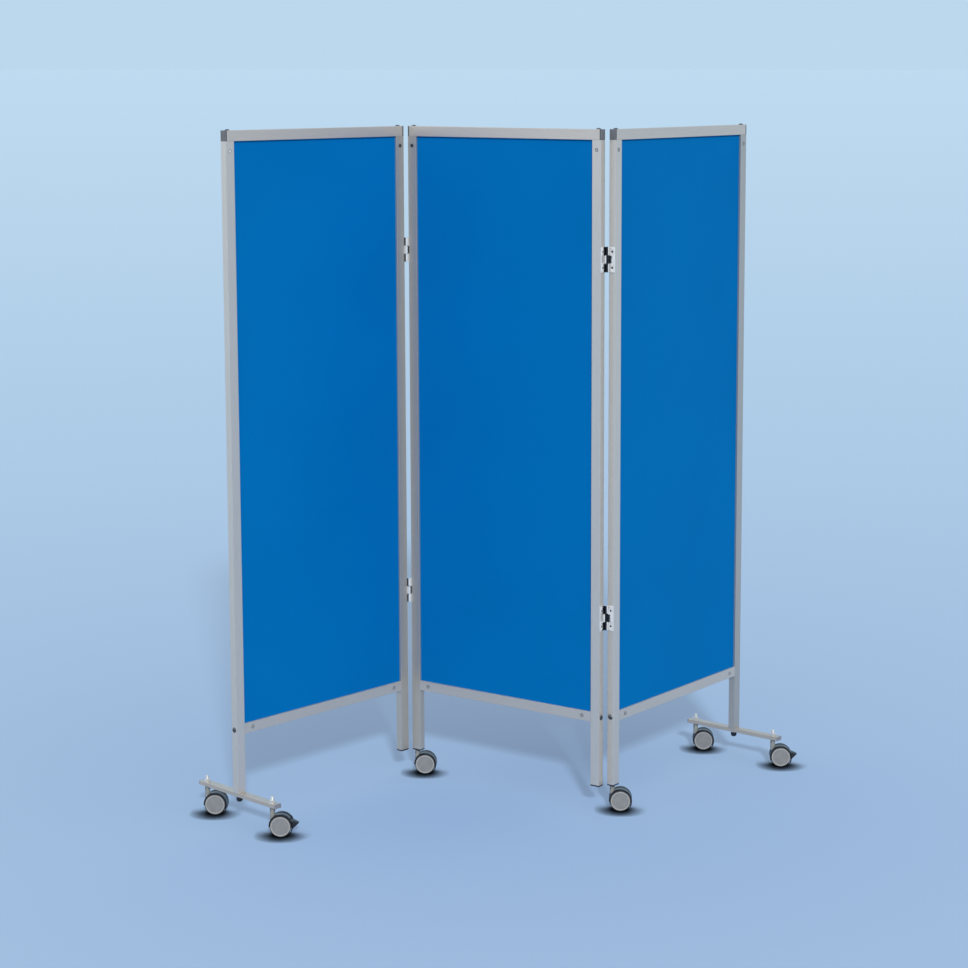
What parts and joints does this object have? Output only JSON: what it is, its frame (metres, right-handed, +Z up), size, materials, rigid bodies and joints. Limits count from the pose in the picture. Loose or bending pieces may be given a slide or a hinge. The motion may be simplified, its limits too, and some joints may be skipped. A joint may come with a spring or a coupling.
{
  "type": "folding screen",
  "caption": "Mobile folding screen: flat leaves in square tube frames, hinged in a zigzag, on T feet with swivel twin-wheel castors",
  "frame": {"origin": "on the floor, in the middle of the bounding box as the screen stands in its zigzag", "axes": "+X across the screen, to the right as seen from the front; -Y to the viewer; +Z up, the longest extent"},
  "size_m": [1.4812, 0.7614, 1.653],
  "materials": {
    "panel_blue": "smooth satin blue",
    "frame_aluminium": "anodised satin",
    "cap_grey": "dark grey matte",
    "fastener_steel": "zinc plated",
    "hinge_chrome": "polished",
    "stem_steel": "zinc plated",
    "hood_black": "glossy black",
    "wheel_grey": "grey matte",
    "pedal_black": "black matte"
  },
  "bodies": {
    "left_leaf": {"left_leaf_left_post": "frame_aluminium", "left_leaf_right_post": "frame_aluminium", "left_leaf_top_rail": "frame_aluminium", "left_leaf_bottom_rail": "frame_aluminium", "left_leaf_panel": "panel_blue", "left_leaf_end_caps": "cap_grey", "left_leaf_frame_bolts": "fastener_steel", "left_leaf_barrel_nuts": "fastener_steel", "left_hinge_plates": "hinge_chrome", "left_hinge_screws": "hinge_chrome", "left_foot_bar": "frame_aluminium", "left_foot_caps": "cap_grey", "left_foot_nuts": "fastener_steel", "left_castor_stems": "stem_steel"},
    "middle_leaf": {"middle_leaf_left_post": "frame_aluminium", "middle_leaf_right_post": "frame_aluminium", "middle_leaf_top_rail": "frame_aluminium", "middle_leaf_bottom_rail": "frame_aluminium", "middle_leaf_panel": "panel_blue", "middle_leaf_end_caps": "cap_grey", "middle_leaf_frame_bolts": "fastener_steel", "middle_leaf_barrel_nuts": "fastener_steel", "middle_hinge_plates": "hinge_chrome", "middle_hinge_screws": "hinge_chrome", "middle_castor_stems": "stem_steel", "hinge_pins": "hinge_chrome"},
    "right_leaf": {"right_leaf_left_post": "frame_aluminium", "right_leaf_right_post": "frame_aluminium", "right_leaf_top_rail": "frame_aluminium", "right_leaf_bottom_rail": "frame_aluminium", "right_leaf_panel": "panel_blue", "right_leaf_end_caps": "cap_grey", "right_leaf_frame_bolts": "fastener_steel", "right_leaf_barrel_nuts": "fastener_steel", "right_hinge_plates": "hinge_chrome", "right_hinge_screws": "hinge_chrome", "right_foot_bar": "frame_aluminium", "right_foot_caps": "cap_grey", "right_foot_nuts": "fastener_steel", "right_castor_stems": "stem_steel"},
    "left_rear_castor_swivel": {"left_rear_castor_housing": "hood_black"},
    "left_rear_castor_near_wheel": {"left_rear_castor_near_wheel": "wheel_grey"},
    "left_rear_castor_far_wheel": {"left_rear_castor_far_wheel": "wheel_grey"},
    "left_front_castor_swivel": {"left_front_castor_housing": "hood_black"},
    "left_front_castor_near_wheel": {"left_front_castor_near_wheel": "wheel_grey"},
    "left_front_castor_far_wheel": {"left_front_castor_far_wheel": "wheel_grey"},
    "left_front_brake_pedal": {"left_front_brake_pedal": "pedal_black"},
    "middle_castor_swivel": {"middle_castor_housing": "hood_black"},
    "middle_castor_near_wheel": {"middle_castor_near_wheel": "wheel_grey"},
    "middle_castor_far_wheel": {"middle_castor_far_wheel": "wheel_grey"},
    "right_inner_castor_swivel": {"right_inner_castor_housing": "hood_black"},
    "right_inner_castor_near_wheel": {"right_inner_castor_near_wheel": "wheel_grey"},
    "right_inner_castor_far_wheel": {"right_inner_castor_far_wheel": "wheel_grey"},
    "right_rear_castor_swivel": {"right_rear_castor_housing": "hood_black"},
    "right_rear_castor_near_wheel": {"right_rear_castor_near_wheel": "wheel_grey"},
    "right_rear_castor_far_wheel": {"right_rear_castor_far_wheel": "wheel_grey"},
    "right_front_castor_swivel": {"right_front_castor_housing": "hood_black"},
    "right_front_castor_near_wheel": {"right_front_castor_near_wheel": "wheel_grey"},
    "right_front_castor_far_wheel": {"right_front_castor_far_wheel": "wheel_grey"},
    "right_front_brake_pedal": {"right_front_brake_pedal": "pedal_black"}
  },
  "joints": [
    {"name": "left_fold", "type": "hinge", "parent": "middle_leaf", "child": "left_leaf", "pos_m": [-0.25427, 0.13018, 1.344], "axis": [0, 0, 1], "range_deg": [-81, 74]},
    {"name": "right_fold", "type": "hinge", "parent": "middle_leaf", "child": "right_leaf", "pos_m": [0.24447, -0.15223, 1.344], "axis": [0, 0, 1], "range_deg": [-86, 69]},
    {"name": "left_rear_swivel", "type": "hinge", "parent": "left_leaf", "child": "left_rear_castor_swivel", "pos_m": [-0.71916, -0.20281, 0.04], "axis": [0, 0, 1], "continuous": true},
    {"name": "left_rear_near_roll", "type": "hinge", "parent": "left_rear_castor_swivel", "child": "left_rear_castor_near_wheel", "pos_m": [-0.69916, -0.21561, 0.025], "axis": [0, 1, 0], "continuous": true},
    {"name": "left_rear_far_roll", "type": "hinge", "parent": "left_rear_castor_swivel", "child": "left_rear_castor_far_wheel", "pos_m": [-0.69916, -0.19001, 0.025], "axis": [0, 1, 0], "continuous": true},
    {"name": "left_front_swivel", "type": "hinge", "parent": "left_leaf", "child": "left_front_castor_swivel", "pos_m": [-0.53803, -0.36026, 0.04], "axis": [0, 0, 1], "continuous": true},
    {"name": "left_front_near_roll", "type": "hinge", "parent": "left_front_castor_swivel", "child": "left_front_castor_near_wheel", "pos_m": [-0.51803, -0.37306, 0.025], "axis": [0, 1, 0], "continuous": true},
    {"name": "left_front_far_roll", "type": "hinge", "parent": "left_front_castor_swivel", "child": "left_front_castor_far_wheel", "pos_m": [-0.51803, -0.34746, 0.025], "axis": [0, 1, 0], "continuous": true},
    {"name": "left_front_brake_press", "type": "hinge", "parent": "left_front_castor_swivel", "child": "left_front_brake_pedal", "pos_m": [-0.49563, -0.36026, 0.027], "axis": [0, 1, 0], "range_deg": [0, 12]},
    {"name": "middle_swivel", "type": "hinge", "parent": "middle_leaf", "child": "middle_castor_swivel", "pos_m": [-0.23684, 0.13391, 0.04], "axis": [0, 0, 1], "continuous": true},
    {"name": "middle_near_roll", "type": "hinge", "parent": "middle_castor_swivel", "child": "middle_castor_near_wheel", "pos_m": [-0.21684, 0.12111, 0.025], "axis": [0, 1, 0], "continuous": true},
    {"name": "middle_far_roll", "type": "hinge", "parent": "middle_castor_swivel", "child": "middle_castor_far_wheel", "pos_m": [-0.21684, 0.14671, 0.025], "axis": [0, 1, 0], "continuous": true},
    {"name": "right_inner_swivel", "type": "hinge", "parent": "right_leaf", "child": "right_inner_castor_swivel", "pos_m": [0.26202, -0.14916, 0.04], "axis": [0, 0, 1], "continuous": true},
    {"name": "right_inner_near_roll", "type": "hinge", "parent": "right_inner_castor_swivel", "child": "right_inner_castor_near_wheel", "pos_m": [0.28202, -0.16196, 0.025], "axis": [0, 1, 0], "continuous": true},
    {"name": "right_inner_far_roll", "type": "hinge", "parent": "right_inner_castor_swivel", "child": "right_inner_castor_far_wheel", "pos_m": [0.28202, -0.13636, 0.025], "axis": [0, 1, 0], "continuous": true},
    {"name": "right_rear_swivel", "type": "hinge", "parent": "right_leaf", "child": "right_rear_castor_swivel", "pos_m": [0.4844, 0.36108, 0.04], "axis": [0, 0, 1], "continuous": true},
    {"name": "right_rear_near_roll", "type": "hinge", "parent": "right_rear_castor_swivel", "child": "right_rear_castor_near_wheel", "pos_m": [0.5044, 0.34828, 0.025], "axis": [0, 1, 0], "continuous": true},
    {"name": "right_rear_far_roll", "type": "hinge", "parent": "right_rear_castor_swivel", "child": "right_rear_castor_far_wheel", "pos_m": [0.5044, 0.37388, 0.025], "axis": [0, 1, 0], "continuous": true},
    {"name": "right_front_swivel", "type": "hinge", "parent": "right_leaf", "child": "right_front_castor_swivel", "pos_m": [0.67856, 0.22001, 0.04], "axis": [0, 0, 1], "continuous": true},
    {"name": "right_front_near_roll", "type": "hinge", "parent": "right_front_castor_swivel", "child": "right_front_castor_near_wheel", "pos_m": [0.69856, 0.20721, 0.025], "axis": [0, 1, 0], "continuous": true},
    {"name": "right_front_far_roll", "type": "hinge", "parent": "right_front_castor_swivel", "child": "right_front_castor_far_wheel", "pos_m": [0.69856, 0.23281, 0.025], "axis": [0, 1, 0], "continuous": true},
    {"name": "right_front_brake_press", "type": "hinge", "parent": "right_front_castor_swivel", "child": "right_front_brake_pedal", "pos_m": [0.72096, 0.22001, 0.027], "axis": [0, 1, 0], "range_deg": [0, 12]}
  ]
}
